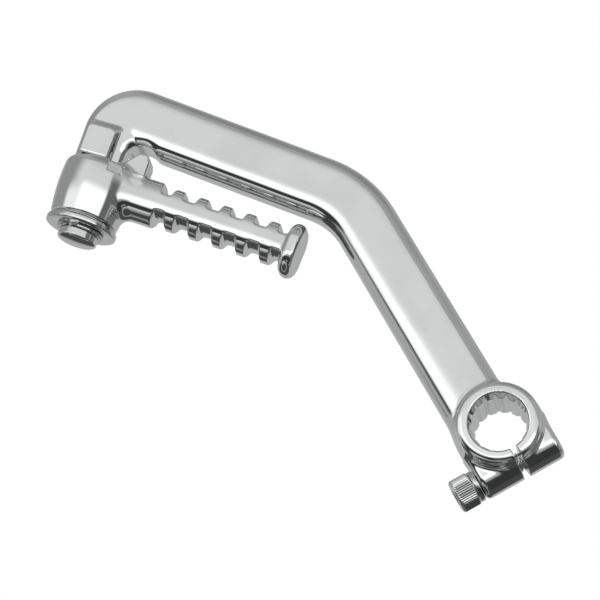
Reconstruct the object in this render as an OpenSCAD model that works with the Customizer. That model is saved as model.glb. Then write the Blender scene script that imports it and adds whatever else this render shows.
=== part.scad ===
// Kick start lever with a folding ribbed pedal.
// Millimetres, +Z up. The origin is the centre of the shaft bore, on the bore's axis Y.
// The engine lies on the -Y side; the pedal turns about an upright axis and folds under the arm.

/* [Arm] */
// Distance from the bore to the pedal's pivot, along X
pivot_reach = 140.3; // [125:0.1:160]
// Height of the arm's centre line over the bore, at the pivot
arm_rise = 63; // [56:0.1:72]
// Width of the arm, seen from the side
arm_w = 18.9; // [16:0.1:21]
// Thickness of the arm, along the bore's axis
arm_t = 12.4; // [12.3:0.1:14]
// Rounding of the arm's long edges
arm_edge_r = 4.5; // [2:0.1:4.8]
// Angle by which the upper part falls towards the bend
upper_slope = 5.3; // [0:0.1:10]
// Angle by which the lower part falls towards the bore
lower_slope = 42.8; // [36:0.1:50]
// Distance of the lower part's centre line from the bore's axis
lower_offset = 2.8; // [0:0.1:4]
// Radius of the bend, on the centre line
bend_r = 29; // [20:0.5:40]
// Outer radius of the elbow over the pedal
elbow_r = 15.8; // [14:0.1:18]
// Distance of the arm's middle plane from the middle of the bore, along Y
arm_mid_y = 1; // [0:0.1:2]

/* [Clamp boss] */
// Radius of the bore over the tips of its teeth
bore_tip_r = 8; // [7.5:0.05:8.2]
// Depth of the teeth
tooth_h = 0.65; // [0.3:0.05:0.8]
// Number of teeth in the bore
tooth_count = 16; // [12:1:24]
// Part of each tooth's pitch that is left as its land
land_part = 0.5; // [0.4:0.05:0.6]
// Length of the bore
boss_len = 17; // [16:0.5:20]
// Outer radius of the raised ring round the bore
boss_r = 12.7; // [12:0.1:14]
// Rounding of the ring's two outer edges
boss_edge_r = 1.3; // [0.5:0.1:2]
// Chamfer at both mouths of the bore
bore_chamfer = 0.95; // [0.3:0.05:1.2]
// Outer radius of the boss behind the ring
base_r = 13.5; // [13:0.1:15]
// Width of the slit
slit_w = 2; // [1.5:0.1:2.5]
// Distance from the bore's axis to the clamp screw's axis
screw_offset = 11.5; // [11.5:0.1:13]
// Radius of each lug's outer side, round the screw
lug_r = 5.5; // [5.3:0.1:5.8]
// Distance from the slit's middle to the end of each lug
lug_len = 13.5; // [12.5:0.1:15]
// Rounding of the lugs' ends
lug_edge_r = 1.6; // [0.5:0.1:2]

/* [Clamp screw] */
// Radius of the screw's shank
screw_r = 3; // [2.5:0.1:3]
// Length of the screw under its head
screw_len = 25; // [20:1:26]
// Radius of the screw's head
head_r = 5; // [4.5:0.1:5.5]
// Height of the screw's head
head_h = 6; // [5:0.1:6.5]
// Width across the flats of the hexagon socket
socket_w = 5; // [4:0.1:5.5]
// Depth of the hexagon socket
socket_d = 3.2; // [2.5:0.1:3.5]
// Number of grooves of the knurl round the head
knurl_count = 40; // [24:1:48]
// Depth of the knurl
knurl_h = 0.3; // [0.1:0.05:0.4]
// Chamfer round the head's outer end
head_chamfer = 0.6; // [0.3:0.1:1]
// Thickness of the split washer under the head
lock_t = 1.5; // [1:0.1:1.8]
// Outer radius of the split washer
lock_r = 5.3; // [5:0.1:5.5]
// Width of the cut through the split washer
lock_gap = 0.8; // [0.4:0.1:1.2]
// Slant of that cut
lock_skew = 20; // [0:1:30]
// Direction of that cut, turned from the slit
lock_turn = 200; // [0:5:355]

/* [Elbow and stops] */
// Distance from the pivot to the arm's outer side
leg_out = 8.9; // [8.5:0.1:9.5]
// Height of the pedal hub's top face over the bore
hub_top = 45.5; // [43:0.1:47]
// Thickness by which both pads stand proud of the arm
pad_t = 2.3; // [1.5:0.1:3]
// Height of both pads
pad_h = 11.5; // [8:0.1:13]
// Distance from the pivot to the front pad's inner edge
pad_in = 3.4; // [3:0.1:4.5]
// Slope of the pads' flanks, measured across the face
pad_slope = 1.4; // [0.5:0.1:2]
// Rounding of the pads' corners
pad_r = 1.2; // [0.6:0.1:1.5]
// Distance from the pivot to the arm's inner face, which stops the folded tab
leg_in = 6.3; // [6.2:0.05:6.6]
// Radius of the hollow in the arm over the pedal's tab
scoop_r = 5; // [4.8:0.1:5.4]
// Height of the hollow over the tab
scoop_gap = 2.8; // [1.5:0.1:3.2]
// Flare of the hollow at both faces of the arm
scoop_flare = 1.4; // [0.5:0.1:2]

/* [Spigot] */
// Radius of the spigot on which the pedal turns
spigot_r = 6.1; // [5.9:0.1:6.1]
// Height of the spigot's rounded end over the bore
spigot_end = 19.8; // [19:0.1:21]
// Height of the dome on the spigot's end
dome_h = 1.2; // [0.6:0.1:1.5]
// Depth of the groove for the retaining ring
groove_h = 0.75; // [0.5:0.05:0.9]

/* [Pedal] */
// Height of the pedal's hub
hub_h = 18.6; // [17.5:0.1:19]
// Largest radius of the hub
hub_r = 11.3; // [11:0.1:12]
// Radius of the hub's swelling, seen from the side
hub_swell_r = 60; // [45:1:90]
// Rounding of the hub's upper shoulder
hub_edge_r = 3; // [1.5:0.1:3.2]
// Distance from the hub's largest radius to the start of that rounding
hub_edge_in = 0.3; // [0.1:0.1:0.5]
// Height of the hub's largest radius, as a part of the hub's height
swell_part = 0.6; // [0.4:0.05:0.7]
// Distance from the pivot to the far face of the end plate
pedal_len = 66.1; // [60:0.1:72]
// Angle by which the pedal droops from square to its pivot
droop = 2.9; // [0:0.1:5]
// Height of the pedal's centre line over the bore, at the pivot
pedal_z = 39.3; // [38:0.1:39.6]
// Width and height of the ribbed bar
bar_w = 12; // [10.5:0.1:13]
// Rounding of the bar's long edges
bar_edge_r = 4.4; // [2.5:0.1:4.5]
// Depth of the notches between the ribs
notch_h = 2.4; // [1.5:0.1:3]
// Distance from one rib to the next
rib_pitch = 7.67; // [7:0.01:8.2]
// Thickness of each rib
rib_t = 3.2; // [2.5:0.1:4]
// Number of ribs on each side
rib_count = 5; // [4:1:5]
// Distance from the pivot to the first rib's middle
first_rib = 26; // [25:0.1:27]
// Distance from the pivot to the end of the solid root
root_len = 20.7; // [19:0.1:21.5]
// Rounding in the corners of the notches
notch_r = 0.9; // [0.3:0.1:1.2]
// Height of the end plate
plate_h = 16.4; // [14:0.1:18]
// Width of the end plate
plate_w = 14; // [12:0.1:15]
// Thickness of the end plate
plate_t = 4.5; // [3:0.1:5]
// Rounding of the end plate's corners
plate_r = 6; // [3:0.1:6.5]
// Bevel round both faces of the end plate
plate_bevel = 1.2; // [0.5:0.1:1.5]

/* [Tab] */
// Width of the tab that stands on the pedal's root
tab_w = 8.7; // [8:0.1:8.8]
// Thickness of the tab
tab_t = 7; // [6:0.1:7.5]
// Height by which the tab stands over the hub
tab_rise = 5.9; // [5:0.1:6]
// Distance from the pivot to the flat on the hub's shoulder
flat_r = 9.7; // [9.5:0.1:10.2]
// Width of that flat
flat_w = 4.4; // [3:0.1:5]
// Height of that flat
flat_h = 3.2; // [2:0.1:4]
// Direction of that flat, turned from the bar
flat_turn = -56; // [-65:1:-50]

/* [Washers and ring] */
// Thickness of the wave washer
wave_t = 0.6; // [0.4:0.05:0.8]
// Outer radius of the wave washer
wave_r = 10.4; // [9.5:0.1:10.6]
// Thickness of the thrust washer
thrust_t = 1.6; // [1.2:0.1:2]
// Outer radius of the thrust washer
thrust_r = 10.9; // [10:0.1:11.5]
// Thickness of the retaining ring
ring_t = 1.2; // [1:0.05:1.3]
// Outer radius of the retaining ring
ring_r = 7; // [6.8:0.1:7.5]
// Angle of the retaining ring's opening
ring_gap = 46; // [30:1:70]
// Direction of that opening, turned from the bar
ring_turn = 205; // [0:1:359]

/* [Detent] */
// Radius of the detent ball
ball_r = 2.5; // [2:0.1:2.5]
// Height by which the ball stands out of the spigot
ball_out = 1.1; // [0.8:0.05:1.2]
// Depth of the two seats under the ball's track
seat_h = 0.3; // [0.2:0.05:0.4]
// Height of the ball's middle over the bore
ball_z = 36.2; // [34:0.1:38]
// Direction of the ball, turned from the folded pedal
ball_turn = 45; // [30:1:60]
// Angle through which the pedal opens
open_turn = 90; // [80:1:92]
// Depth of the hole for the ball and its spring
ball_hole_h = 9.6; // [9:0.1:10]
// Thickness of the spring's wire
wire_t = 0.7; // [0.5:0.05:0.8]
// Number of the spring's turns
spring_turns = 4; // [3:1:5]

/* [Clearances] */
// Radial gap between the spigot and the pedal's hub
turn_gap = 0.06; // [0.02:0.01:0.09]
// Gap between faces that slide on each other
face_gap = 0.05; // [0.02:0.01:0.1]
// Gap at which the folded pedal's tab meets the arm
stop_gap = 0.15; // [0.1:0.05:0.3]
// Gap over the tab and round it, where it swings past the arm
swing_gap = 0.6; // [0.4:0.1:0.8]
// Radial gap between the screw and its plain hole
screw_gap = 0.2; // [0.15:0.05:0.25]
// Radial gap between the screw and the hole that holds its thread
thread_gap = 0.02; // [0.01:0.01:0.05]
// Radial gap round the ball, its spring and the washers
loose_gap = 0.1; // [0.05:0.01:0.15]

/* [Hidden] */
eps = 0.01;
far = 60;
fine = 96;
// Length by which a cutting body runs past the face it cuts
past = 1;
// The curved pieces of the arm are a hair larger than the straight ones, which run into them
seam = 0.02;
lap = 0.5;
chrome = [0.80, 0.82, 0.82];
steel = [0.62, 0.63, 0.64];
bright = [0.86, 0.87, 0.87];

// Arm: the bend lies where the two centre lines meet
half_w = arm_w / 2;
up = [cos(-upper_slope), sin(-upper_slope)];
up_n = [sin(upper_slope), cos(upper_slope)];
down = [cos(-lower_slope), sin(-lower_slope)];
down_n = [sin(lower_slope), cos(lower_slope)];
pivot_pt = [-pivot_reach, arm_rise];
run = (-lower_offset - pivot_pt * down_n) / (up * down_n);
apex = pivot_pt + run * up;
turn = lower_slope - upper_slope;
tangent = bend_r * tan(turn / 2);
bend_start = apex - tangent * up;
bend_end = apex + tangent * down;
bend_c = bend_start - bend_r * up_n;

// Elbow: its round corner touches the arm's top and outer side
leg_x = -pivot_reach - leg_out;
elbow_in = elbow_r - half_w;
elbow_x = leg_x + elbow_r;
elbow_z = arm_rise - (elbow_x + pivot_reach) * tan(upper_slope) - elbow_in / cos(upper_slope);
elbow_c = [elbow_x, elbow_z];
leg_bottom = hub_top + face_gap;

// Tab and the faces that stop it
tab_in = leg_in + stop_gap;
tab_mid = tab_in + tab_w / 2;
tab_top = hub_top + tab_rise;
tab_arch_z = tab_top - tab_w / 2;
tab_front = -bar_w / 2;
tab_back = tab_front + tab_t;
swing_r = norm([tab_in + tab_w, tab_front]) + swing_gap;
scoop_c = [-pivot_reach + leg_in + scoop_r, tab_top + scoop_gap - scoop_r];

// Clamp: local X runs from the bore along the slit, local Z along the screw
screw_seat = lug_len + lock_t;
knurl_pitch = 360 / knurl_count;
tooth_pitch = 360 / tooth_count;
lock_in = screw_r + loose_gap;
tip_h = screw_r / 4;

// Pedal
hub_bottom = hub_top - hub_h;
hub_bore_r = spigot_r + turn_gap;
bar_start = spigot_r;
shoulder_r = hub_r - hub_edge_r - hub_edge_in;
plate_start = pedal_len - plate_t;

// Washers and ring, stacked down the spigot
wave_top = hub_bottom - face_gap;
thrust_top = wave_top - wave_t;
ring_top = thrust_top - thrust_t - face_gap;
groove_r = spigot_r - groove_h;

// Detent: the spring is ground flat at both ends, and its wire is cut by each level of the coil in a crescent
ball_c = spigot_r + ball_out - ball_r;
hole_end = spigot_r - ball_hole_h;
spring_r = ball_r - wire_t / 2 - loose_gap;
spring_start = hole_end + face_gap;
spring_len = ball_c - sqrt(pow(ball_r, 2) - pow(spring_r - wire_t / 2, 2)) - face_gap - spring_start;
spring_pitch = spring_len / spring_turns;
wire_steps = 8;
turn_steps = 24;

module round_rect(w, h, r) {
    square([w, h - 2 * r], center = true);
    square([w - 2 * r, h], center = true);
    for (x = [-1, 1], y = [-1, 1])
        translate([x * (w / 2 - r), y * (h / 2 - r)])
            circle(r = r, $fn = fine);
}

module arm_section(over = 0) {
    round_rect(arm_w + over, arm_t + over, arm_edge_r + over / 2);
}

// A straight piece of arm from a point in the arm's plane, at an angle from X
module arm_bar(from, angle, len) {
    translate([from[0], arm_mid_y, from[1]])
        rotate([0, 90 - angle, 0])
            linear_extrude(len) arm_section();
}

// A curved piece of arm about a point, from one angle through another
module arm_curve(centre, start, angle) {
    translate([centre[0], arm_mid_y, centre[1]])
        rotate([90, 0, 0])
            rotate([0, 0, start])
                rotate_extrude(angle = angle, $fn = fine) children();
}

// Places a piece in the clamp: local X along the slit, local Y along the bore, local Z along the screw
module in_clamp() {
    rotate([0, lower_slope, 0]) children();
}

module along_y(y) {
    translate([0, y, 0]) rotate([-90, 0, 0]) children();
}

module arm_shape() {
    arm_curve(elbow_c, 90 - upper_slope, 90 + upper_slope)
        difference() {
            translate([elbow_in, 0]) arm_section(seam);
            translate([-far, -far / 2]) square([far, far]);
        }
    arm_bar(elbow_c + elbow_in * up_n - lap * up, -upper_slope,
            norm(bend_start - elbow_c - elbow_in * up_n) + 2 * lap);
    arm_curve(bend_c, 90 - lower_slope, turn) translate([bend_r, 0]) arm_section(seam);
    arm_bar(bend_end - lap * down, -lower_slope, norm(bend_end + lower_offset * down_n) + lap);
    arm_bar([leg_x + half_w, elbow_z + lap], -90, elbow_z + lap - leg_bottom);
}

// A raised pad on one side of the elbow, with sloping flanks
module pad(side, inner) {
    w = leg_out + inner - arm_edge_r / 2;
    translate([leg_x + arm_edge_r / 2 + w / 2, arm_mid_y, leg_bottom + pad_h / 2])
        hull() {
            pad_layer(w, 0, side * (arm_t / 2 - pad_t / 2));
            pad_layer(w, pad_slope, side * (arm_t / 2 + pad_t / 2));
        }
}

module pad_layer(w, less, y) {
    translate([-less / 2, y, -less / 2])
        rotate([90, 0, 0])
            linear_extrude(pad_t, center = true)
                round_rect(w - less, pad_h - less, pad_r, $fn = 32);
}

// The pedal's tab stands in this hollow and swings out through the back of it
module tab_way() {
    translate([scoop_c[0], arm_mid_y, scoop_c[1]]) {
        rotate([90, 0, 0])
            linear_extrude(far, center = true) {
                circle(r = scoop_r, $fn = fine);
                translate([-scoop_r, -far]) square([2 * scoop_r, far]);
            }
        for (side = [-90, 90])
            rotate([side, 0, 0])
                translate([0, 0, arm_t / 2 - scoop_flare])
                    cylinder(r1 = scoop_r, r2 = scoop_r + 2 * scoop_flare, h = 2 * scoop_flare, $fn = fine);
    }
    translate([-pivot_reach, arm_mid_y, hub_top])
        intersection() {
            translate([-tab_back - stop_gap, 0, -past]) cube([far, far, tab_rise + swing_gap + past]);
            difference() {
                translate([0, 0, -2 * past]) cylinder(r = swing_r, h = far, $fn = fine);
                translate([0, 0, -3 * past]) cylinder(r = leg_in, h = far + 2 * past, $fn = fine);
            }
        }
}

module boss() {
    along_y(-boss_len / 2)
        rotate_extrude($fn = fine) {
            square([boss_r - boss_edge_r, boss_len]);
            translate([0, boss_edge_r]) square([boss_r, boss_len - 2 * boss_edge_r]);
            for (y = [boss_edge_r, boss_len - boss_edge_r])
                translate([boss_r - boss_edge_r, y]) circle(r = boss_edge_r, $fn = fine);
        }
    along_y(arm_mid_y)
        rotate_extrude($fn = fine)
            intersection() {
                round_rect(2 * base_r, arm_t, arm_edge_r);
                translate([0, -far / 2]) square([far, far]);
            }
    in_clamp() {
        translate([screw_offset, arm_mid_y, -lug_len])
            rotate_extrude($fn = fine) {
                square([lug_r - lug_edge_r, 2 * lug_len]);
                translate([0, lug_edge_r]) square([lug_r, 2 * (lug_len - lug_edge_r)]);
                for (y = [lug_edge_r, 2 * lug_len - lug_edge_r])
                    translate([lug_r - lug_edge_r, y]) circle(r = lug_edge_r, $fn = fine);
            }
        translate([0, arm_mid_y, 0])
            rotate([0, 90, 0])
                linear_extrude(screw_offset) round_rect(2 * lug_len, 2 * lug_r, lug_edge_r);
    }
}

// The bore with its grooves, as one flat outline
module bore_outline() {
    circle(r = bore_tip_r, $fn = fine);
    half_groove = tooth_pitch * (1 - land_part) / 2;
    for (i = [0 : tooth_count - 1])
        rotate(i * tooth_pitch)
            polygon([[bore_tip_r - past, 0],
                     (bore_tip_r - eps) * [cos(half_groove), -sin(half_groove)],
                     (bore_tip_r + tooth_h) * [cos(half_groove / 4), -sin(half_groove / 4)],
                     (bore_tip_r + tooth_h) * [cos(half_groove / 4), sin(half_groove / 4)],
                     (bore_tip_r - eps) * [cos(half_groove), sin(half_groove)]]);
}

module clamp_cuts() {
    in_clamp() {
        along_y(-boss_len) linear_extrude(2 * boss_len) bore_outline();
        for (side = [-1, 1])
            scale([1, side, 1])
                along_y(boss_len / 2 - bore_chamfer)
                    cylinder(r1 = bore_tip_r, r2 = bore_tip_r + 2 * bore_chamfer,
                             h = 2 * bore_chamfer, $fn = fine);
        translate([0, -boss_len, -slit_w / 2]) cube([far, 2 * boss_len, slit_w]);
        translate([screw_offset, arm_mid_y, -far]) cylinder(r = screw_r + screw_gap, h = far, $fn = fine);
        translate([screw_offset, arm_mid_y, 0]) cylinder(r = screw_r + thread_gap, h = far, $fn = fine);
    }
}

module spigot() {
    translate([-pivot_reach, arm_mid_y, 0])
        rotate_extrude($fn = fine)
            difference() {
                translate([0, spigot_end]) square([spigot_r, leg_bottom + spigot_r - spigot_end]);
                translate([groove_r, ring_top - ring_t - face_gap]) square([spigot_r, ring_t + 2 * face_gap]);
                spigot_dome();
            }
}

// What is taken away below the spigot's rounded end
module spigot_dome() {
    dome_r = (pow(spigot_r, 2) + pow(dome_h, 2)) / (2 * dome_h);
    difference() {
        translate([0, spigot_end - dome_h]) square([2 * spigot_r, 2 * dome_h]);
        translate([0, spigot_end + dome_r]) circle(r = dome_r, $fn = fine);
    }
}

module at_ball(r) {
    translate([-pivot_reach, arm_mid_y, ball_z])
        rotate([0, 0, ball_turn])
            translate([r, 0, 0]) children();
}

module lever_arm() {
    color(chrome)
        difference() {
            union() {
                difference() {
                    union() {
                        arm_shape();
                        pad(-1, pad_in);
                        pad(1, pad_in);
                    }
                    tab_way();
                }
                boss();
                spigot();
            }
            clamp_cuts();
            at_ball(hole_end)
                rotate([0, 90, 0])
                    cylinder(r = ball_r + loose_gap, h = ball_hole_h + past, $fn = fine);
        }
}

// Places a piece in the pedal: local X from the pivot along the drooping bar
module in_pedal() {
    translate([-pivot_reach, arm_mid_y, pedal_z]) rotate([0, droop, 0]) children();
}

module bar(w, h, r, start, end) {
    translate([start, 0, 0]) rotate([0, 90, 0]) linear_extrude(end - start) round_rect(h, w, r);
}

module end_plate() {
    hull() {
        bar(plate_w, plate_h, plate_r, plate_start + plate_bevel, pedal_len - plate_bevel);
        bar(plate_w - 2 * plate_bevel, plate_h - 2 * plate_bevel, plate_r - plate_bevel, plate_start, pedal_len);
    }
}

// One notch across the top or bottom of the bar, its floor corners rounded
module notch(from, to) {
    rotate([90, 0, 0])
        linear_extrude(far, center = true) {
            translate([from + notch_r, 0]) square([to - from - 2 * notch_r, far]);
            translate([from, notch_r]) square([to - from, far]);
            for (x = [from + notch_r, to - notch_r])
                translate([x, notch_r]) circle(r = notch_r, $fn = fine);
        }
}

module notches() {
    for (side = [0, 180])
        rotate([side, 0, 0])
            translate([0, 0, bar_w / 2 - notch_h]) {
                notch(root_len, first_rib - rib_t / 2);
                for (i = [1 : rib_count - 1])
                    notch(first_rib + (i - 1) * rib_pitch + rib_t / 2, first_rib + i * rib_pitch - rib_t / 2);
                notch(first_rib + (rib_count - 1) * rib_pitch + rib_t / 2, plate_start);
            }
}

module hub() {
    translate([-pivot_reach, arm_mid_y, 0])
        rotate_extrude($fn = fine)
            intersection() {
                translate([hub_r - hub_swell_r, hub_bottom + swell_part * hub_h])
                    circle(r = hub_swell_r, $fn = fine);
                union() {
                    translate([0, hub_bottom]) square([far, hub_h - hub_edge_r]);
                    translate([0, hub_bottom]) square([shoulder_r, hub_h]);
                    translate([shoulder_r, hub_top - hub_edge_r]) circle(r = hub_edge_r, $fn = fine);
                }
            }
}

module tab() {
    translate([-pivot_reach + tab_mid, arm_mid_y + tab_back, 0])
        rotate([90, 0, 0])
            linear_extrude(tab_t) {
                translate([0, tab_arch_z]) circle(d = tab_w, $fn = fine);
                translate([-tab_w / 2, pedal_z]) square([tab_w, tab_arch_z - pedal_z]);
            }
}

// The ball's track round the bore, and the two seats at its ends
module ball_track() {
    track_r = ball_r + loose_gap;
    translate([-pivot_reach, arm_mid_y, ball_z]) {
        rotate([0, 0, ball_turn - open_turn])
            rotate_extrude(angle = open_turn, $fn = fine)
                translate([ball_c, 0]) circle(r = track_r, $fn = fine);
        for (a = [ball_turn - open_turn, ball_turn])
            rotate([0, 0, a]) translate([ball_c + seat_h, 0, 0]) sphere(r = track_r, $fn = fine);
    }
}

// A flat beside the tab's foot, on the hub's upper shoulder
module hub_flat() {
    translate([-pivot_reach, arm_mid_y, hub_top - flat_h])
        rotate([0, 0, flat_turn])
            translate([flat_r, -flat_w / 2, 0]) cube([far, flat_w, far]);
}

module kick_pedal() {
    color(chrome)
        difference() {
            union() {
                hub();
                tab();
                in_pedal() {
                    difference() {
                        bar(bar_w, bar_w, bar_edge_r, bar_start, plate_start + plate_r / 4);
                        notches();
                    }
                    end_plate();
                }
            }
            translate([-pivot_reach, arm_mid_y, hub_bottom - past])
                cylinder(r = hub_bore_r, h = hub_h + 2 * past, $fn = fine);
            ball_track();
            hub_flat();
        }
}

module flat_ring(top, t, r_out, r_in) {
    translate([-pivot_reach, arm_mid_y, top - t])
        linear_extrude(t)
            difference() {
                circle(r = r_out, $fn = fine);
                circle(r = r_in, $fn = fine);
            }
}

module wave_washer() {
    color(steel) flat_ring(wave_top, wave_t, wave_r, spigot_r + loose_gap);
}

module thrust_washer() {
    color(bright) flat_ring(thrust_top, thrust_t, thrust_r, spigot_r + loose_gap);
}

module retaining_ring() {
    inner = groove_r + face_gap;
    end_r = (ring_r - inner) / 2 - eps;
    color(steel)
        translate([-pivot_reach, arm_mid_y, ring_top - ring_t])
            rotate([0, 0, ring_turn + ring_gap / 2]) {
                rotate_extrude(angle = 360 - ring_gap, $fn = fine)
                    translate([inner, 0]) square([ring_r - inner, ring_t]);
                for (a = [0, -ring_gap])
                    rotate([0, 0, a])
                        translate([(ring_r + inner) / 2, 0, 0]) cylinder(r = end_r, h = ring_t, $fn = fine);
            }
}

module clamp_screw() {
    color(bright)
        in_clamp()
            translate([screw_offset, arm_mid_y, -screw_seat])
                difference() {
                    union() {
                        cylinder(r = screw_r, h = screw_len - tip_h, $fn = fine);
                        translate([0, 0, screw_len - tip_h])
                            cylinder(r1 = screw_r, r2 = screw_r - tip_h, h = tip_h, $fn = fine);
                        translate([0, 0, -head_h]) knurled_head();
                    }
                    translate([0, 0, -head_h - past])
                        cylinder(d = socket_w / cos(30), h = socket_d + past, $fn = 6);
                }
}

module knurled_head() {
    intersection() {
        linear_extrude(head_h)
            difference() {
                circle(r = head_r, $fn = fine);
                for (i = [0 : knurl_count - 1])
                    rotate(i * knurl_pitch)
                        polygon([[head_r - knurl_h, 0],
                                 [head_r + knurl_h, -head_r * sin(knurl_pitch / 2)],
                                 [head_r + knurl_h, head_r * sin(knurl_pitch / 2)]]);
            }
        rotate_extrude($fn = fine)
            polygon([[0, 0], [head_r - head_chamfer, 0], [head_r, head_chamfer], [head_r, head_h], [0, head_h]]);
    }
}

module lock_washer() {
    color(steel)
        in_clamp()
            translate([screw_offset, arm_mid_y, -screw_seat + face_gap])
                difference() {
                    cylinder(r = lock_r, h = lock_t - 2 * face_gap, $fn = fine);
                    translate([0, 0, -past]) cylinder(r = lock_in, h = lock_t + 2 * past, $fn = fine);
                    rotate([lock_skew, 0, lock_turn])
                        translate([0, -lock_gap / 2, -lock_t]) cube([far, lock_gap, 4 * lock_t]);
                }
}

module detent_ball() {
    color(bright) at_ball(ball_c) sphere(r = ball_r, $fn = fine);
}

// A point of the crescent: its place along the wire's width, and the side of the wire
function crescent(step, side) =
    let (across = -cos(180 * step / wire_steps) * wire_t / 2,
         r = spring_r + side * sqrt(max(0, pow(wire_t / 2, 2) - pow(across, 2))),
         a = 360 * across / spring_pitch)
    r * [cos(a), sin(a)];

module detent_spring() {
    color(steel)
        at_ball(spring_start)
            rotate([0, 90, 0])
                linear_extrude(spring_len, twist = -360 * spring_turns, slices = turn_steps * spring_turns)
                    polygon(concat([for (i = [0 : wire_steps]) crescent(i, -1)],
                                   [for (i = [wire_steps - 1 : -1 : 1]) crescent(i, 1)]));
}

lever_arm();
kick_pedal();
wave_washer();
thrust_washer();
retaining_ring();
clamp_screw();
lock_washer();
detent_ball();
detent_spring();
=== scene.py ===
import math

import bmesh
import bpy
import numpy as np
from mathutils import Matrix


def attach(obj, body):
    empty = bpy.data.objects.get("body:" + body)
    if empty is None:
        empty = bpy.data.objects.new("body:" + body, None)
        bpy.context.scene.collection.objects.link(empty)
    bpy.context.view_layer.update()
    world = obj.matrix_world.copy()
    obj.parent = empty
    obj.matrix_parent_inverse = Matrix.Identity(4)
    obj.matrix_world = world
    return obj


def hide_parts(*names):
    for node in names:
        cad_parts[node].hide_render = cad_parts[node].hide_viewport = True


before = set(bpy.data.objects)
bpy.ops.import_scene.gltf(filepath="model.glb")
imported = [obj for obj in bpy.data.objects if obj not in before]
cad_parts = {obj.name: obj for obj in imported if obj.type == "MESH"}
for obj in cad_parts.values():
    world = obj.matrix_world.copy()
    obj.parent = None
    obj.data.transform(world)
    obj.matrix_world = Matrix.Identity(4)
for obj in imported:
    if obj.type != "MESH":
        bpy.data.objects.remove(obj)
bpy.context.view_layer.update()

# The lever arm: one steel forging, bent twice, with a splined and split boss at its lower end and a
# spigot for the pedal at its upper one. It is ground smooth, polished and plated with bright chrome.
# Its shape is given as a distance from the surface, so that every joint in it blends as in a forging.
mm = 0.001
pivot_x, mid_y = -140.3, 1.0
arm_rise, arm_half_w, arm_half_t = 63.0, 9.45, 6.2
arm_edge, arm_crown, lower_taper = 3.4, 1.0, 0.45
upper_slope, lower_slope = math.radians(5.3), math.radians(42.8)
lower_offset, bend_r, elbow_r, leg_x, leg_to = 2.8, 29.0, 15.8, -149.2, -115
pad_from, pad_to, pad_z, pad_h, pad_lean, pad_draft = -146.95, -136.9, 57.0, 2.3, 0.61, 0.86
hub_top, leg_bottom, leg_in = 46.0, 46.05, 6.3
tab_in, tab_w, tab_top, tab_back, tab_depth = 6.45, 8.7, 51.4, 3.0, 6.0
tab_gap, tab_back_gap = 0.6, 0.15
scoop_r, scoop_z, scoop_edge = 5.0, 49.2, 1.4
spigot_r, turned_to, pin_top = 6.1, 31.5, 50.0
ball_z, ball_hole_r, ball_hole_from = 36.2, 2.6, -3.5
ring_r, ring_half_l, ring_edge = 12.7, 8.5, 2.0
base_r, base_edge = 13.2, 4.5
lug_r, lug_len, lug_edge, lug_from, lug_step = 5.2, 13.5, 1.7, 3.0, 0.6
bore_r, mouth_r, mouth_slope, back_mouth_r = 8.0, 9.05, 0.35, 8.4
grooves, groove_h, groove_half, groove_flank = 16, 0.65, 5.6, 4.2
slit_half, screw_off, screw_hole_r, thread_r, hole_from = 1.0, 11.0, 3.2, 3.02, 6.0


def blend_in(a, b, k):
    """The lesser of two distances, with a fillet about k wide where they meet."""
    h = np.maximum(k - np.abs(a - b), 0) / k
    return np.minimum(a, b) - h * h * k / 4


def cut_out(a, b, k):
    """Takes the body b out of a, its new edges rounded over about k."""
    h = np.maximum(k - np.abs(a + b), 0) / k
    return np.maximum(a, -b) + h * h * k / 4


def rounded(p, q, r):
    """Distance from a corner of radius r, where p and q are distances past its two faces."""
    p, q = p + r, q + r
    return np.hypot(np.maximum(p, 0), np.maximum(q, 0)) + np.minimum(np.maximum(p, q), 0) - r


def along(slope):
    """Unit vectors down a slope and square to it, seen from the side."""
    return np.array([math.cos(slope), -math.sin(slope)]), np.array([math.sin(slope), math.cos(slope)])


up, up_n = along(upper_slope)
down, down_n = along(lower_slope)
pivot_pt = np.array([pivot_x, arm_rise])
apex = pivot_pt + (-lower_offset - pivot_pt @ down_n) / (up @ down_n) * up
tangent = bend_r * math.tan((lower_slope - upper_slope) / 2)
bend_from, bend_to = apex - tangent * up, apex + tangent * down
bend_c = bend_from - bend_r * up_n
elbow_in = elbow_r - arm_half_w
elbow_c = np.array([leg_x + elbow_r, arm_rise - (leg_x + elbow_r - pivot_x) * math.tan(upper_slope)
                    - elbow_in / math.cos(upper_slope)])
arm_foot = -lower_offset * down_n
centre_lines = [((leg_x + arm_half_w, 30.0), (leg_x + arm_half_w, elbow_c[1])),
                (elbow_c + elbow_in * up_n, bend_from), (bend_to, arm_foot)]
centre_arcs = [(elbow_c, elbow_in, (-1.0, 0.0), up_n), (bend_c, bend_r, up_n, down_n)]


def off_centre(x, z):
    """Distance from the arm's centre line, seen from the side, and how far along the lower part that is."""
    best = np.full(x.shape, 1e9)
    for a, b in centre_lines:
        a, b = np.asarray(a), np.asarray(b)
        t = np.clip(((x - a[0]) * (b - a)[0] + (z - a[1]) * (b - a)[1]) / ((b - a) @ (b - a)), 0, 1)
        best = np.minimum(best, np.hypot(x - a[0] - t * (b - a)[0], z - a[1] - t * (b - a)[1]))
    for c, r, first, last in centre_arcs:
        dx, dz = x - c[0], z - c[1]
        cross = first[0] * last[1] - first[1] * last[0]
        side = np.sign(cross)
        within = (first[0] * dz - first[1] * dx) * side >= 0
        within = within & ((dx * last[1] - dz * last[0]) * side >= 0)
        best = np.where(within, np.minimum(best, np.abs(np.hypot(dx, dz) - r)), best)
    return best, t


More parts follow.
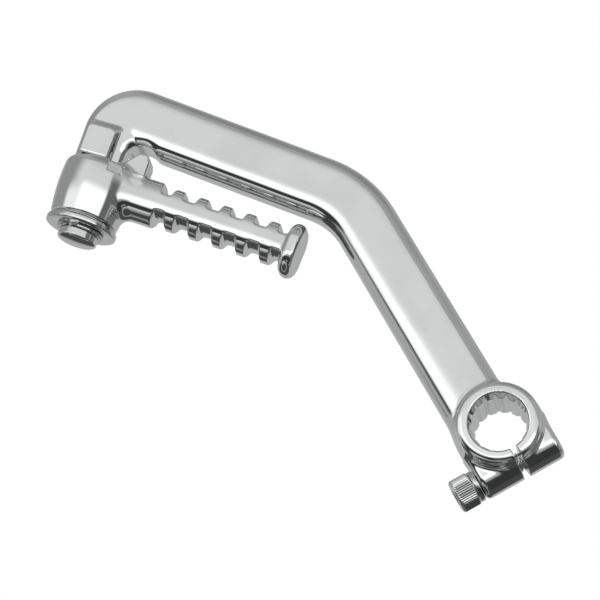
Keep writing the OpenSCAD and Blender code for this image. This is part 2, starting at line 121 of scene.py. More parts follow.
def arm_body(x, y, z):
    """The bent arm with its pads, the hollow over the pedal's tab, and the upper part of the spigot."""
    depth = np.abs(y - mid_y)
    off, t = off_centre(x, z)
    wide = off - arm_half_w - lower_taper * t
    crown = arm_crown * np.minimum(off / arm_half_w, 1.1) ** 4
    under = np.minimum(leg_bottom - z, leg_to - x)
    bar = np.maximum(rounded(wide, depth - arm_half_t + crown, arm_edge), under)
    # the two stop pads at the elbow, their flanks sloping in at the top and on the pivot's side. Here and
    # further on, a factor below 1 makes up for a slope, so that the value stays close to a true distance
    lean = pad_lean * np.clip(depth - arm_half_t, -1, 3)
    flank = np.maximum(x - pad_to + lean, pad_from - x)
    pad = rounded(flank * pad_draft, (z - pad_z + lean) * pad_draft, 1.2)
    pad = rounded(np.maximum(pad, under), depth - arm_half_t - pad_h, 0.5)
    body = blend_in(bar, pad, 0.7)
    # the hollow over the pedal's tab, and the way through which the tab swings out
    dx = x - pivot_x - leg_in - scoop_r
    hollow = np.where(z > scoop_z, np.hypot(dx, z - scoop_z), np.abs(dx)) - scoop_r
    hollow = hollow - np.maximum(depth - arm_half_t + scoop_edge, 0)
    body = cut_out(body, hollow * 0.8, 0.9)
    rr = np.hypot(x - pivot_x, y - mid_y)
    reach = np.hypot(tab_in + tab_w, tab_depth) + tab_gap
    back = pivot_x - tab_back - tab_back_gap - x
    swing = np.maximum.reduce([back, mid_y - y, leg_in - rr, rr - reach, z - tab_top - tab_gap])
    body = cut_out(body, swing, 0.5)
    # the spigot, down to where its turned end begins
    pin = np.maximum(rounded(rr - spigot_r, turned_to - z, 0.2), z - pin_top)
    body = blend_in(body, pin, 0.3)
    # the cross hole for the detent ball and its spring
    out_x = (x - pivot_x + y - mid_y) * math.sqrt(0.5)
    out_y = (y - mid_y - x + pivot_x) * math.sqrt(0.5)
    return cut_out(body, np.maximum(np.hypot(out_y, z - ball_z) - ball_hole_r, ball_hole_from - out_x), 0.1)


def lever_shape(x, y, z):
    """The arm with its clamp boss: the ring's front and the wider base, and the two lugs for the screw."""
    depth = np.abs(y - mid_y)
    rc = np.hypot(x, z)
    # lx runs on down the arm's lower part, through the slit, and lz square to it
    lx, lz = x * down[0] + z * down[1], x * down_n[0] + z * down_n[1]
    ring = rounded(rc - ring_r, np.abs(y) - ring_half_l, ring_edge)
    base = rounded(rc - base_r, depth - arm_half_t, base_edge)
    lug_side = np.where(lx > screw_off, np.hypot(lx - screw_off, depth), depth) - lug_r
    lug_end = np.where(lz > 0, lz + lug_step, -lz) - lug_len
    lugs = np.maximum(rounded(lug_side, lug_end, lug_edge), lug_from - lx)
    body = blend_in(arm_body(x, y, z), base, 3.0)
    body = blend_in(body, lugs, 2.2)
    body = blend_in(body, ring, 1.3)
    # the grooves round the bore, its chamfered mouths, the slit and the screw's holes
    pitch = 360 / grooves
    turn = (np.degrees(np.arctan2(lz, lx)) + 360) % pitch
    deep = np.clip((groove_half - np.minimum(turn, pitch - turn)) / groove_flank, 0, 1)
    bore = (rc - bore_r - groove_h * deep) * 0.75
    front_mouth = (rc - mouth_r + mouth_slope * (ring_half_l + y)) * 0.9
    back_mouth = (rc - back_mouth_r + ring_half_l - y) * 0.7
    body = cut_out(body, np.minimum(bore, np.where(y < 0, front_mouth, back_mouth)), 0.3)
    body = cut_out(body, np.maximum(np.abs(lz) - slit_half, -lx), 0.3)
    hole = np.hypot(lx - screw_off, y - mid_y) - np.where(lz < 0, screw_hole_r, thread_r)
    return cut_out(body, np.maximum(hole, hole_from - lx), 0.2)


block_side = 8


def spread(*stops):
    """Grid lines from stop to stop, each stretch with a spacing of its own, and some more to fill a block."""
    lines = [stops[0]]
    for start, step, end in zip(stops[::2], stops[1::2], stops[2::2]):
        n = max(1, round((end - start) / step))
        lines += list(np.linspace(start, end, n + 1)[1:])
    spare = -(len(lines) - 1) % block_side
    lines += [lines[-1] + (i + 1) * 0.3 for i in range(spare)]
    return np.array(lines)


def slope_of(shape, p, e=0.02):
    """Unit normals of the surface at the points p."""
    g = np.stack([shape(*(p + e * d).T) - shape(*(p - e * d).T) for d in np.eye(3)], -1)
    return g / np.maximum(np.linalg.norm(g, axis=1, keepdims=True), 1e-12)


def turned_body(rows, around):
    """Points and faces of a closed turned body. A row has a radius, a height, and 1 where it is hexagonal."""
    angle = np.arange(around) * 2 * math.pi / around
    six = 1 / np.cos((angle + math.pi / 6) % (math.pi / 3) - math.pi / 6)
    points, faces, rings = [], [], []
    for r, z, *hexagon in rows:
        reach = r * (six if any(hexagon) else np.ones(around))
        ring = np.c_[reach * np.cos(angle), reach * np.sin(angle), np.full(around, z)][:around if r else 1]
        rings.append([len(points) + (i if r else 0) for i in range(around)])
        points += ring.tolist()
    for low, high in zip(rings, rings[1:]):
        for i in range(around):
            j = (i + 1) % around
            faces.append(list(dict.fromkeys((low[i], low[j], high[j], high[i]))))
    return points, faces


def grid(*axes):
    """All places of a grid, one row for each."""
    return np.stack(np.meshgrid(*axes, indexing="ij"), -1).reshape(-1, 3)


def skin(name, shape, gx, gy, gz, extra=((), ())):
    """Meshes the surface where shape() is zero over a grid, with its points brought onto that surface."""
    lines, n = (gx, gy, gz), block_side
    batch, near_enough, longest_step = 600, 0.56, 0.15
    # only the blocks of n cells a side that the surface may pass through are looked at: those whose middle
    # lies within half their diagonal of it, or a little more
    blocks = grid(*[np.arange((len(g) - 1) // n) for g in lines])
    low = np.stack([g[blocks[:, i] * n] for i, g in enumerate(lines)], -1)
    high = np.stack([g[blocks[:, i] * n + n] for i, g in enumerate(lines)], -1)
    near = np.abs(shape(*((low + high) / 2).T)) < np.linalg.norm(high - low, axis=1) * near_enough
    blocks = blocks[near]
    step = grid(*[np.arange(n + 1)] * 3)
    values = np.empty((len(blocks), (n + 1) ** 3), np.float32)
    for i in range(0, len(blocks), batch):
        at = blocks[i:i + batch, None] * n + step
        values[i:i + batch] = shape(*[lines[a][at[..., a]].ravel() for a in range(3)]).reshape(len(at), -1)
    values = values.reshape(-1, n + 1, n + 1, n + 1)
    # one point in each cell that the surface cuts, at the mean of the places where it crosses the edges
    corners = grid([0, 1], [0, 1], [0, 1])
    inside = np.stack([values[:, a:a + n, b:b + n, c:c + n] < 0 for a, b, c in corners], -1)
    cut = inside.any(-1) & ~inside.all(-1)
    block, i, j, k = np.nonzero(cut)
    cell = blocks[block] * n + np.stack([i, j, k], -1)
    value = np.stack([values[block, i + a, j + b, k + c] for a, b, c in corners], -1)
    place = [np.stack([lines[m][cell[:, m] + corner[m]] for m in range(3)], -1) for corner in corners]
    total, count = np.zeros((len(cell), 3)), np.zeros(len(cell))
    for i in range(8):
        for j in range(i + 1, 8):
            if np.abs(corners[i] - corners[j]).sum() == 1:
                hit = (value[:, i] < 0) != (value[:, j] < 0)
                t = np.where(hit, value[:, i] / np.where(hit, value[:, i] - value[:, j], 1), 0)[:, None]
                total += np.where(hit[:, None], place[i] * (1 - t) + place[j] * t, 0)
                count += hit
    points = total / count[:, None]

    def number(c):
        """One number for each cell, by which it is found again."""
        return (c[:, 0] * len(gy) + c[:, 1]) * len(gz) + c[:, 2]

    numbers = number(cell)
    order = np.argsort(numbers)
    # one face round each edge that the surface crosses
    unit = np.eye(3, dtype=int)
    faces = []
    for axis in range(3):
        i, j, k = unit[axis]
        near_end = values[:, :n, :n, :n] < 0
        far_end = values[:, i:n + i, j:n + j, k:n + k] < 0
        edge = np.stack(np.nonzero(near_end != far_end), -1)
        inward = near_end[tuple(edge.T)]
        start = blocks[edge[:, 0]] * n + edge[:, 1:]
        one, two = unit[(axis + 1) % 3], unit[(axis + 2) % 3]
        round_it = (one + two, two, 0 * one, one)
        ring = [order[np.searchsorted(numbers, number(start - d), sorter=order)] for d in round_it]
        quad = np.stack(ring, -1)
        faces.append(np.where(inward[:, None], quad, quad[:, ::-1]))
    faces = np.concatenate(faces)
    # three steps along the slope bring the points onto the surface
    for _ in range(3):
        off = np.clip(shape(*points.T), -longest_step, longest_step)
        points -= slope_of(shape, points) * off[:, None]
    mesh = bpy.data.meshes.new(name)
    normals = slope_of(shape, points).tolist() + [(0, 0, 0)] * len(extra[0])
    added = [[i + len(points) for i in face] for face in extra[1]]
    in_metres = [[v * mm for v in p] for p in points.tolist() + list(extra[0])]
    mesh.from_pydata(in_metres, [], faces.tolist() + added)
    mesh.polygons.foreach_set("use_smooth", np.ones(len(mesh.polygons), bool))
    mesh.normals_split_custom_set_from_vertices(normals)
    made = bpy.data.objects.new(name, mesh)
    bpy.context.scene.collection.objects.link(made)
    return made


def chrome_plate(name, tint=(0.84, 0.86, 0.855), rough=0.035, wave=0.35, grain=0.2):
    """Bright plate over a polished surface: faint waves, finer grain, and dull specks left by handling."""
    finish = bpy.data.materials.new(name)
    finish.use_nodes = True
    nodes, links = finish.node_tree.nodes, finish.node_tree.links
    metal = nodes["Principled BSDF"].inputs
    metal["Metallic"].default_value = 1.0
    on_piece = nodes.new("ShaderNodeTexCoord").outputs["Object"]

    def noise(scale, detail=2.0):
        cloud = nodes.new("ShaderNodeTexNoise")
        cloud.inputs["Scale"].default_value = scale
        cloud.inputs["Detail"].default_value = detail
        links.new(on_piece, cloud.inputs["Vector"])
        return cloud.outputs["Fac"]

    def stretch(value, *limits):
        scaled = nodes.new("ShaderNodeMapRange")
        for label, limit in zip(("From Min", "From Max", "To Min", "To Max"), limits):
            scaled.inputs[label].default_value = limit
        links.new(value, scaled.inputs["Value"])
        return scaled.outputs["Result"]

    def bump(height, strength, depth):
        relief = nodes.new("ShaderNodeBump")
        relief.inputs["Strength"].default_value = strength
        relief.inputs["Distance"].default_value = depth
        links.new(height, relief.inputs["Height"])
        return relief

    colour = nodes.new("ShaderNodeMix")
    colour.data_type = "RGBA"
    colour.inputs["A"].default_value = (*[c * 0.93 for c in tint], 1)
    colour.inputs["B"].default_value = (*tint, 1)
    links.new(stretch(noise(60), 0.35, 0.6, 0, 1), colour.inputs["Factor"])
    links.new(colour.outputs["Result"], metal["Base Color"])
    links.new(stretch(noise(900, 3), 0.4, 0.75, rough, rough + 0.06), metal["Roughness"])
    waves, fine = bump(noise(90, 1), wave, 0.0001), bump(noise(1500, 2), grain, 0.00001)
    links.new(waves.outputs["Normal"], fine.inputs["Normal"])
    links.new(fine.outputs["Normal"], metal["Normal"])
    return finish


chrome = chrome_plate("bright chrome")
# a factor on the spacing of the grids below, here 1
coarse = 1.0
# the spigot's end is turned: rounded at the bottom, with a groove for the ring
groove_r, groove_from, groove_to = 5.35, 23.34, 24.64
pin_rows = [
    (0, 20.2), (1.5, 20.23), (3, 20.33), (4.3, 20.47), (5.2, 20.65), (5.6, 20.8), (5.8, 20.91),
    (5.95, 21.03), (6.06, 21.15), (spigot_r, 21.3), (spigot_r, 21.4),
    (spigot_r, groove_from - 0.14), (spigot_r, groove_from - 0.07), (6.05, groove_from - 0.02),
    (5.95, groove_from), (groove_r + 0.07, groove_from), (groove_r + 0.01, groove_from + 0.02),
    (groove_r, groove_from + 0.08), (groove_r, groove_to - 0.08),
    (groove_r + 0.01, groove_to - 0.02), (groove_r + 0.07, groove_to), (5.95, groove_to),
    (6.05, groove_to + 0.02), (spigot_r, groove_to + 0.08), (spigot_r, groove_to + 0.16),
    (spigot_r, turned_to + 0.9), (6.0, turned_to + 1), (0, turned_to + 1)]
pin_points, pin_faces = turned_body(pin_rows, 128)
pin_points = [(x + pivot_x, y + mid_y, z) for x, y, z in pin_points]
lever = skin("forged_arm", lever_shape,
             spread(-150.4, 0.45 * coarse, -122, 0.76 * coarse, -18, 0.36 * coarse, 22),
             spread(-9.0, 0.37 * coarse, 10.4),
             spread(-22, 0.36 * coarse, 15, 0.66 * coarse, 44, 0.45 * coarse, 73), (pin_points, pin_faces))
lever.data.materials.append(chrome)
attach(lever, "lever")
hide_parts("lever_arm")

# The kick pedal: a second forging, of the same plated steel. Its hub turns on the arm's spigot, its bar
# has ribs above and below for the sole of a boot, and a tab on its root meets the arm's stops.
hub_r, hub_swell_r, hub_swell_z, hub_bottom, hub_bore_r = 11.28, 60, 38.06, 26.9, 6.16
hub_top_edge, hub_low_edge = 2.7, 0.9
bar_droop, bar_z, bar_half, bar_top_edge, bar_low_edge = math.radians(2.9), 39.3, 6.0, 3.1, 4.4
first_rib, rib_pitch, rib_half, ribs, rib_core, rib_draft = 26.0, 7.67, 1.6, 5, 3.6, 0.14
root_len, root_extra, rib_extra, side_crown, floor_crown = 20.7, 0.75, 0.1, 0.02, 0.025
plate_from, plate_to, plate_half, plate_high, plate_corner, plate_rim = 61.6, 66.1, 7.0, 8.2, 6.0, 2.2
tab_front, tab_foot, tab_fade, tab_corner = -5.7, 44.5, 0.35, 0.9
tab_inner, tab_outer, tab_outer_top = 4.35, 3.6, 2.8
inner_lean, outer_lean = (0.753, 0.659), (0.944, 0.33)
flat_turn, flat_off, flat_half, flat_bottom = math.radians(-56), 9.7, 2.2, 42.3
ball_at, seat_at, track_from = 4.7, 5.05, 3.2


def ribbed_bar(dx, depth, z):
    """The bar with its root block, ribs and end plate."""
    bx = dx * math.cos(bar_droop) - (z - bar_z) * math.sin(bar_droop)
    bz = dx * math.sin(bar_droop) + (z - bar_z) * math.cos(bar_droop)
    high = np.abs(bz)
    tall = bar_half + np.where(bx < root_len + 1, root_extra, rib_extra)
    edge = np.where(bz < 0, bar_low_edge, bar_top_edge)
    full = rounded(depth - bar_half + side_crown * np.square(high), high - tall, edge)
    bar = np.maximum.reduce([full, -bx, bx - plate_to + 1])
    rib_sides = [first_rib + i * rib_pitch + side * rib_half for i in range(ribs) for side in (-1, 1)]
    ends = [root_len, *rib_sides, plate_from + 1]
    # the notches between the ribs are cut out of the full bar, with sloping flanks
    for start, end in zip(ends[::2], ends[1::2]):
        flank = np.abs(bx - (start + end) / 2) - (end - start) / 2 - rib_draft * (high - rib_core - 1)
        notch = rounded(flank * 0.98, rib_core - floor_crown * np.square(depth) - high, 0.7)
        bar = cut_out(bar, notch, 0.6)
    plate = rounded(depth - plate_half, high - plate_high, plate_corner)
    plate = rounded(plate, np.abs(bx - (plate_from + plate_to) / 2) - (plate_to - plate_from) / 2, plate_rim)
    return blend_in(bar, plate, 1.0)


def pedal_shape(x, y, z):
    """The hub with its bar and standing tab, and inside it the bore, the ball's track and two seats."""
    dx, dy = x - pivot_x, y - mid_y
    rr = np.hypot(dx, dy)
    drop = np.maximum(hub_swell_r ** 2 - np.square(z - hub_swell_z), 1)
    swell = hub_r - hub_swell_r + np.sqrt(drop)
    hub = rounded(rr - swell, z - hub_top, hub_top_edge)
    hub = np.maximum(hub, rounded(rr - swell, hub_bottom - z, hub_low_edge))
    body = blend_in(hub, ribbed_bar(dx, np.abs(dy), z), 3.2)
    # the tab, whose front fades into the bar at its foot
    tx = dx - tab_in - tab_w / 2
    inner = -inner_lean[0] * tx + inner_lean[1] * (z - tab_top)
    outer = outer_lean[0] * (tx - tab_outer_top) + outer_lean[1] * (z - tab_top)
    flanks = np.maximum.reduce([-tab_inner - tx, inner, tx - tab_outer, outer])
    front = tab_front - dy + tab_fade * np.maximum(tab_foot - z, 0)
    tab = rounded(rounded(flanks, z - tab_top, tab_corner), np.maximum(front, dy - tab_back), 0.7)
    body = blend_in(body, np.maximum(tab, bar_z - z), 1.6)
    # the small flat beside the tab's foot
    fx = dx * math.cos(flat_turn) + dy * math.sin(flat_turn)
    fy = dy * math.cos(flat_turn) - dx * math.sin(flat_turn)
    body = cut_out(body, np.maximum.reduce([flat_off - fx, np.abs(fy) - flat_half, flat_bottom - z]), 0.6)
    # the bore, the track of the detent ball inside it, and the seats at the track's two ends
    body = cut_out(body, rr - hub_bore_r, 0.3)
    track = np.hypot(rr - ball_at, z - ball_z) - ball_hole_r + np.maximum(track_from - dx, 0) * 0.7
    seat = seat_at * math.sqrt(0.5)
    seats = np.sqrt(np.square(dx - seat) + np.square(np.abs(dy) - seat) + np.square(z - ball_z)) - ball_hole_r
    return cut_out(body, np.minimum(track, seats), 0.1)


pedal = skin("folding_pedal", pedal_shape, spread(-152.2, 0.3 * coarse, -72.5),
             spread(-11.0, 0.3 * coarse, 13.0), spread(26.2, 0.2 * coarse, 28.4, 0.28 * coarse, 52.5))
pedal.data.materials.append(chrome)
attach(pedal, "pedal")
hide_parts("kick_pedal")

# Wave washer and thrust washer, under the pedal's hub: the first is spring steel pressed into three waves,
# the second is turned from bar and plated. Both are loose on the spigot, and the ring below holds them.
def plan(name, inputs, build):
    """A geometry tree with named inputs. What build() adds comes out as real geometry with a material."""
    tree = bpy.data.node_groups.new(name, "GeometryNodeTree")
    for label, kind in [*inputs, ("Material", "Material")]:
        tree.interface.new_socket(label, in_out="INPUT", socket_type="NodeSocket" + kind)
    tree.interface.new_socket("Geometry", in_out="OUTPUT", socket_type="NodeSocketGeometry")
    given = tree.nodes.new("NodeGroupInput").outputs

    def add(kind, links, **settings):
        node = tree.nodes.new(kind)
        for key, value in settings.items():
            setattr(node, key, value)
        for key, value in links.items():
            if isinstance(value, bpy.types.NodeSocket):
                tree.links.new(value, node.inputs[key])
            else:
                node.inputs[key].default_value = value
        return node.outputs[0]

    def calc(operation, *values):
        return add("ShaderNodeMath", dict(enumerate(values)), operation=operation)

    real = add("GeometryNodeRealizeInstances", {0: build(given, add, calc)})
    done = add("GeometryNodeSetMaterial", {"Geometry": real, "Material": given["Material"]})
    tree.links.new(done, tree.nodes.new("NodeGroupOutput").inputs[0])
    return tree


def grow(name, tree, values, place, mesh=None, sharp=35):
    """Runs a tree with these sizes, and keeps the result as one plain mesh in its place."""
    made = bpy.data.objects.new(name, mesh or bpy.data.meshes.new(name))
    bpy.context.scene.collection.objects.link(made)
    mod = made.modifiers.new("tree", "NODES")
    mod.node_group = tree
    for item in tree.interface.items_tree:
        if item.in_out == "INPUT" and item.name in values:
            mod[item.identifier] = values[item.name]
    plain = bpy.data.meshes.new_from_object(made.evaluated_get(bpy.context.evaluated_depsgraph_get()))
    made.modifiers.clear()
    made.data = plain
    plain.name = name
    bm = bmesh.new()
    bm.from_mesh(plain)
    bmesh.ops.remove_doubles(bm, verts=bm.verts, dist=1e-7)
    if bm.calc_volume(signed=True) < 0:
        bmesh.ops.reverse_faces(bm, faces=bm.faces)
    bm.to_mesh(plain)
    bm.free()
    plain.transform(place)
    plain.polygons.foreach_set("use_smooth", np.ones(len(plain.polygons), bool))
    plain.set_sharp_from_angle(angle=math.radians(sharp))
    return made


def band_section(given, add):
    """The band's cross-section: a rectangle with rounded corners."""
    flat = add("GeometryNodeCurvePrimitiveQuadrilateral",
               {"Width": given["Width"], "Height": given["Thickness"]})
    return add("GeometryNodeFilletCurve", {"Curve": flat, "Count": 5, "Radius": given["Edge"]}, mode="POLY")


def waved_ring(given, add, calc):
    """A band bent to a closed ring, which rises and falls by the wave height."""
    circle = add("GeometryNodeCurvePrimitiveCircle", {"Resolution": 240, "Radius": given["Radius"]})
    apart = add("ShaderNodeSeparateXYZ", {0: add("GeometryNodeInputPosition", {})}).node
    angle = calc("ARCTAN2", apart.outputs["Y"], apart.outputs["X"])
    lift = calc("MULTIPLY", calc("SINE", calc("MULTIPLY", angle, given["Waves"])), given["Wave height"])
    upwards = add("ShaderNodeCombineXYZ", {"Z": lift})
    moved = add("GeometryNodeSetPosition", {"Geometry": circle, "Offset": upwards})
    level = add("GeometryNodeSetCurveNormal", {"Curve": moved}, mode="Z_UP")
    return add("GeometryNodeCurveToMesh", {"Curve": level, "Profile Curve": band_section(given, add)})


def at_pivot(z):
    """The place on the pedal's pivot axis at the height z."""
    return Matrix.Translation((pivot_x * mm, mid_y * mm, z * mm))


spring_steel = chrome_plate("polished spring steel", (0.70, 0.70, 0.71), 0.12, 0.2, 0.4)
plated_steel = chrome_plate("zinc plated steel", (0.80, 0.81, 0.81), 0.10, 0.2, 0.4)
ring_sizes = [("Radius", "Float"), ("Width", "Float"), ("Thickness", "Float"), ("Edge", "Float"),
              ("Waves", "Float"), ("Wave height", "Float")]
ring_tree = plan("waved ring", ring_sizes, waved_ring)
washers = [  # name, node, middle height, inner and outer radius, thickness, edge, wave height, material
    ("waved_washer", "wave_washer", 26.55, 6.2, 10.4, 0.3, 0.08, 0.15, spring_steel),
    ("flat_washer", "thrust_washer", 25.45, 6.2, 10.9, 1.6, 0.3, 0.0, plated_steel)]
for name, node, z, inner, outer, thick, edge, wave, finish in washers:
    sizes = {"Radius": (inner + outer) / 2 * mm, "Width": (outer - inner) * mm, "Thickness": thick * mm,
             "Edge": edge * mm, "Waves": 3.0, "Wave height": wave * mm, "Material": finish}
    washer = grow(name, ring_tree, sizes, at_pivot(z))
    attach(washer, "lever")
    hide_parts(node)

# Retaining ring, detent spring and lock washer, each bent from spring-steel wire: the ring sprung into its
# groove, the spring coiled and pushed into the cross hole of the spigot, the washer cut from a coil.
def coil(given, add, calc):
    """A band wound to a coil, its two ends closed."""
    spiral = add("GeometryNodeCurveSpiral", {
        "Resolution": 96, "Rotations": given["Turns"], "Start Radius": given["Radius"],
        "End Radius": given["Radius"], "Height": given["Rise"]})
    level = add("GeometryNodeSetCurveNormal", {"Curve": spiral}, mode="Z_UP")
    return add("GeometryNodeCurveToMesh",
               {"Curve": level, "Profile Curve": band_section(given, add), "Fill Caps": True})


coil_tree = plan("coil", ring_sizes[:4] + [("Turns", "Float"), ("Rise", "Float")], coil)
in_clamp = Matrix.Rotation(lower_slope, 4, "Y") @ Matrix.Translation((screw_off * mm, mid_y * mm, 0))
outwards = Matrix.Rotation(math.radians(45), 4, "Z") @ Matrix.Rotation(math.radians(90), 4, "Y")
at_ball = at_pivot(ball_z) @ outwards


def along_axis(z, turn=0.0):
    """A step of z along a piece's own axis, and a turn about it in degrees."""
    return Matrix.Translation((0, 0, z * mm)) @ Matrix.Rotation(math.radians(turn), 4, "Z")


in_groove = at_pivot(24.0) @ along_axis(0, 228)
in_hole = at_ball @ along_axis(ball_hole_from + 0.45)
under_head = in_clamp @ along_axis(-14.5, 205)
coils = [  # name, node, place, inner and outer radius, thickness, edge, turns, rise
    ("snap_ring", "retaining_ring", in_groove, 5.4, 7.25, 1.15, 0.25, 314 / 360, 0.0),
    ("ball_spring", "detent_spring", in_hole, 1.7, 2.4, 0.7, 0.34, 4.0, 5.45),
    ("split_washer", "lock_washer", under_head, 3.15, 4.8, 1.4, 0.2, 350 / 360, 0.12)]
for name, node, place, inner, outer, thick, edge, turns, rise in coils:
    sizes = {"Radius": (inner + outer) / 2 * mm, "Width": (outer - inner) * mm, "Thickness": thick * mm,
             "Edge": edge * mm, "Turns": turns, "Rise": rise * mm, "Material": spring_steel}
    wire = grow(name, coil_tree, sizes, place)
    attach(wire, "lever")
    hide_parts(node)

# The detent ball: hardened steel, ground round. It sits loose in the mouth of the cross hole, and its
# spring pushes it into a seat inside the pedal's hub when the pedal is folded or open.
ball_r = 2.5
bm = bmesh.new()
bmesh.ops.create_uvsphere(bm, u_segments=64, v_segments=32, radius=ball_r * mm)
ball_mesh = bpy.data.meshes.new("hardened_ball")
bm.to_mesh(ball_mesh)
bm.free()
ball_mesh.transform(at_ball @ along_axis(ball_at))
ball_mesh.polygons.foreach_set("use_smooth", np.ones(len(ball_mesh.polygons), bool))
ball_mesh.materials.append(plated_steel)
ball = bpy.data.objects.new("hardened_ball", ball_mesh)
bpy.context.scene.collection.objects.link(ball)
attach(ball, "detent")
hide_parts("detent_ball")

# The clamp screw: a cap screw, turned and plated, with a hexagon socket. Its head is knurled and its shank
# threaded by rolling, which the tree does to the smooth blank. It pulls the two lugs of the boss together.
def rolled(given, add, calc):
    """Presses the head's grooves and the shank's thread into the blank, towards its axis."""
    place = add("GeometryNodeInputPosition", {})
    apart = add("ShaderNodeSeparateXYZ", {0: place}).node.outputs
    angle = calc("DIVIDE", calc("ARCTAN2", apart["Y"], apart["X"]), 2 * math.pi)
    radius = calc("SQRT", calc("ADD", calc("MULTIPLY", apart["X"], apart["X"]),
                               calc("MULTIPLY", apart["Y"], apart["Y"])))
    # the knurl is only on the head's outermost skin
    head = calc("MULTIPLY", calc("LESS_THAN", apart["Z"], 0.0),
                calc("GREATER_THAN", radius, calc("SUBTRACT", given["Head radius"], 0.00005)))
    groove = calc("MULTIPLY", calc("PINGPONG", calc("MULTIPLY", angle, given["Grooves"]), 0.5), 2.0)
    press = calc("MULTIPLY", calc("MULTIPLY", groove, given["Groove depth"]), head)
    # the thread fades in and out over two thirds of a millimetre, and has flat crests and steep flanks
    ends = calc("MINIMUM", calc("MULTIPLY", calc("SUBTRACT", apart["Z"], given["Thread start"]), 1500.0),
                calc("MULTIPLY", calc("SUBTRACT", given["Thread end"], apart["Z"]), 1500.0))
    shank = calc("MINIMUM", calc("MAXIMUM", ends, 0.0), 1.0)
    turn = calc("PINGPONG", calc("SUBTRACT", calc("DIVIDE", apart["Z"], given["Pitch"]), angle), 0.5)
    valley = calc("MINIMUM", calc("MAXIMUM", calc("MULTIPLY", calc("SUBTRACT", turn, 0.08), 2.6), 0.0), 1.0)
    cut = calc("MULTIPLY", calc("MULTIPLY", valley, given["Thread depth"]), shank)
    inward = calc("DIVIDE", calc("ADD", press, cut), calc("MAXIMUM", radius, 0.0001))
    scale = calc("SUBTRACT", 1.0, inward)
    moved = add("ShaderNodeCombineXYZ", {"X": calc("MULTIPLY", apart["X"], scale),
                                         "Y": calc("MULTIPLY", apart["Y"], scale), "Z": apart["Z"]})
    return add("GeometryNodeSetPosition", {"Geometry": given["Blank"], "Position": moved})


head_r, shank_r, shank_len = 5.1, 2.98, 25
head_rows = [
    (0, -2.4), (2.3, -2.8, 1), (2.5, -2.9, 1), (2.5, -5.6, 1), (2.75, -5.85, 1),
    (3.2, -5.85), (4.3, -5.85), (4.6, -5.8), (4.85, -5.62), (5.0, -5.4),
    *[(head_r, z) for z in np.linspace(-5.1, -0.4, 12)],
    (5.0, -0.25), (4.9, -0.08), (4.7, 0), (3.3, 0), (0, 0)]
shank_rows = [
    (0, -1.0), (shank_r, -1.0), *[(shank_r, z) for z in np.arange(0, 24.3, 0.125)],
    (2.9, 24.4), (2.3, shank_len), (0, shank_len)]
head_points, head_faces = turned_body(head_rows, 240)
shank_points, shank_faces = turned_body(shank_rows, 72)
blank = bpy.data.meshes.new("cap_screw")
blank.from_pydata([[v * mm for v in p] for p in head_points + shank_points], [],
                  head_faces + [[i + len(head_points) for i in face] for face in shank_faces])
rolled_tree = plan("rolled screw", [("Blank", "Geometry")] + [(s, "Float") for s in (
    "Head radius", "Grooves", "Groove depth", "Thread start", "Thread end", "Pitch", "Thread depth")], rolled)
screw_sizes = {
    "Head radius": head_r * mm, "Grooves": 48.0, "Groove depth": 0.22 * mm,
    "Thread start": 4 * mm, "Thread end": (shank_len + 0.5) * mm, "Pitch": 1 * mm, "Thread depth": 0.6 * mm,
    "Material": plated_steel}
screw = grow("cap_screw", rolled_tree, screw_sizes, in_clamp @ along_axis(-15.35), mesh=blank, sharp=32)
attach(screw, "lever")
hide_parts("clamp_screw")

# Floor: a plain board, painted pale and matt. It lies well under the lever, so that the camera, which looks
# up at the lever from below, still stands over the board and doesn't see it.
scene = bpy.context.scene
bm = bmesh.new()
bmesh.ops.create_grid(bm, x_segments=1, y_segments=1, size=20)
floor_mesh = bpy.data.meshes.new("floor")
bm.to_mesh(floor_mesh)
bm.free()
paint = bpy.data.materials.new("floor paint")
paint.use_nodes = True
paint.node_tree.nodes["Principled BSDF"].inputs["Base Color"].default_value = (0.9, 0.9, 0.9, 1)
paint.node_tree.nodes["Principled BSDF"].inputs["Roughness"].default_value = 0.9
floor_mesh.materials.append(paint)
floor = bpy.data.objects.new("floor", floor_mesh)
floor.location.z = -1.3
scene.collection.objects.link(floor)

# Camera: a long lens, a metre and a half away, which looks at the lever from the right and from below, as
# the photograph was taken. It is rolled as well, because the lever hangs slanting in the picture.
to_the_right, from_below, roll = math.radians(12.635), math.radians(16.325), math.radians(19.219)
aim, away = (-69.416 * mm, 0, 21.825 * mm), 1479.58 * mm
cam_data = bpy.data.cameras.new("camera")
cam_data.lens, cam_data.sensor_width = 300, 36
cam_data.clip_start, cam_data.clip_end = 0.05, 50
cam = bpy.data.objects.new("camera", cam_data)
look = Matrix.Rotation(to_the_right, 4, "Z") @ Matrix.Rotation(math.radians(90) + from_below, 4, "X")
look = look @ Matrix.Rotation(roll, 4, "Z")
cam.matrix_world = Matrix.Translation(aim) @ look @ Matrix.Translation((0, 0, away))
scene.collection.objects.link(cam)
scene.camera = cam

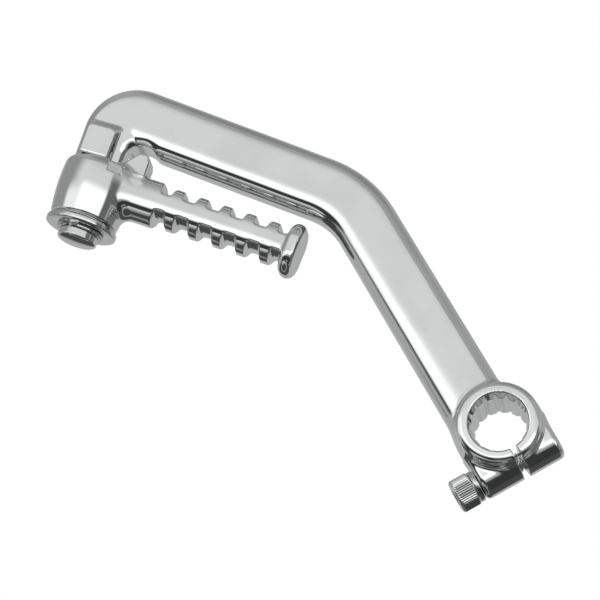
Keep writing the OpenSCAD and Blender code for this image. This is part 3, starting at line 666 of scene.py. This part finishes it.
# Light: a white room, a wide lamp that gives the floor its shadow, and a tent painted with soft boards
# and dark cards, which only the polished metal shows.
scene.view_settings.view_transform = "Standard"
room = bpy.data.worlds.new("white room")
scene.world = room
room.use_nodes = True
nodes, links = room.node_tree.nodes, room.node_tree.links
path = nodes.new("ShaderNodeLightPath").outputs
seen = path["Is Camera Ray"]
for ray in ("Is Glossy Ray", "Is Transmission Ray"):
    either = nodes.new("ShaderNodeMath")
    either.operation = "MAXIMUM"
    links.new(seen, either.inputs[0])
    links.new(path[ray], either.inputs[1])
    seen = either.outputs[0]
level = nodes.new("ShaderNodeMapRange")
level.inputs["To Min"].default_value, level.inputs["To Max"].default_value = 0.7, 1.0
links.new(seen, level.inputs["Value"])
links.new(level.outputs["Result"], nodes["Background"].inputs["Strength"])
nodes["Background"].inputs["Color"].default_value = (1, 1, 1, 1)
lamp_data = bpy.data.lights.new("wide lamp", "SUN")
lamp_data.energy, lamp_data.angle = 0.9, 0.08
lamp = bpy.data.objects.new("wide lamp", lamp_data)
lamp.matrix_world = Matrix.Rotation(math.radians(-30), 4, "Y") @ Matrix.Rotation(math.radians(35), 4, "X")
lamp.visible_glossy = False
scene.collection.objects.link(lamp)

boards = [  # azimuth, elevation, half width (400 is all round), half height, soft sides, soft ends, light
    (0, 90, 400, 38, 40, 20, 0.27),
    (0, 42, 60, 8, 30, 18, 0.39),
    (180, 42, 50, 16, 25, 14, 0.40),
    (-12, 19, 50, 3, 25, 13, 0.74),
    (-95, 15, 18, 16, 34, 16, 0.31),
    (-42, -3, 22, 9, 14, 9, 0.98),
    (15, 4, 36, 6, 20, 6, 1.3),
    (66, 0, 9, 18, 8, 10, 0.15),
    (104, 0, 16, 14, 9, 10, 0.17),
    (20, -34, 62, 14, 25, 10, 0.04),
    (180, -40, 60, 14, 25, 8, 0.07),
    (-105, -22, 20, 5, 12, 6, 0.42),
    (0, -90, 400, 24, 20, 8, 0.06),
    (0, -64, 400, 0.5, 20, 3, 0.28),
    (-35, -50, 12, 3, 8, 4, 0.65),
    (30, -42, 12, 1.5, 6, 3, 0.4)]
tent_r, wall_tone, all_round = 1.25, 0.47, 300
bm = bmesh.new()
bmesh.ops.create_uvsphere(bm, u_segments=360, v_segments=180, radius=tent_r)
tent_mesh = bpy.data.meshes.new("tent")
bm.to_mesh(tent_mesh)
bm.free()
way = np.array([v.co[:] for v in tent_mesh.vertices]) / tent_r
azimuth = np.degrees(np.arctan2(way[:, 0], -way[:, 1]))
elevation = np.degrees(np.arcsin(np.clip(way[:, 2], -1, 1)))
tone = np.full(len(way), wall_tone)
for board_az, board_el, half_w, half_h, soft_w, soft_h, light in boards:
    aside = np.abs((azimuth - board_az + 180) % 360 - 180) * np.cos(np.radians(elevation))
    aside = aside * (half_w < all_round)
    above = np.abs(elevation - board_el)
    past = np.hypot(np.maximum(aside - half_w, 0) / soft_w, np.maximum(above - half_h, 0) / soft_h)
    cover = np.clip(1 - past, 0, 1)
    cover = cover * cover * (3 - 2 * cover)
    tone = tone * (1 - cover) + light * cover
layer = tent_mesh.attributes.new("tone", "FLOAT_COLOR", "POINT")
layer.data.foreach_set("color", np.c_[tone, tone, tone, np.ones(len(tone))].astype(np.float32).ravel())
cloth = bpy.data.materials.new("tent")
cloth.use_nodes = True
nodes, links = cloth.node_tree.nodes, cloth.node_tree.links
nodes.clear()
painted, glow = nodes.new("ShaderNodeAttribute"), nodes.new("ShaderNodeEmission")
painted.attribute_name = "tone"
links.new(painted.outputs["Color"], glow.inputs["Color"])
links.new(glow.outputs[0], nodes.new("ShaderNodeOutputMaterial").inputs["Surface"])
tent_mesh.materials.append(cloth)
tent = bpy.data.objects.new("tent_board", tent_mesh)
tent.location = (-0.07, 0, 0.03)
tent.visible_camera = False
tent.visible_shadow = False
tent.visible_diffuse = False
scene.collection.objects.link(tent)
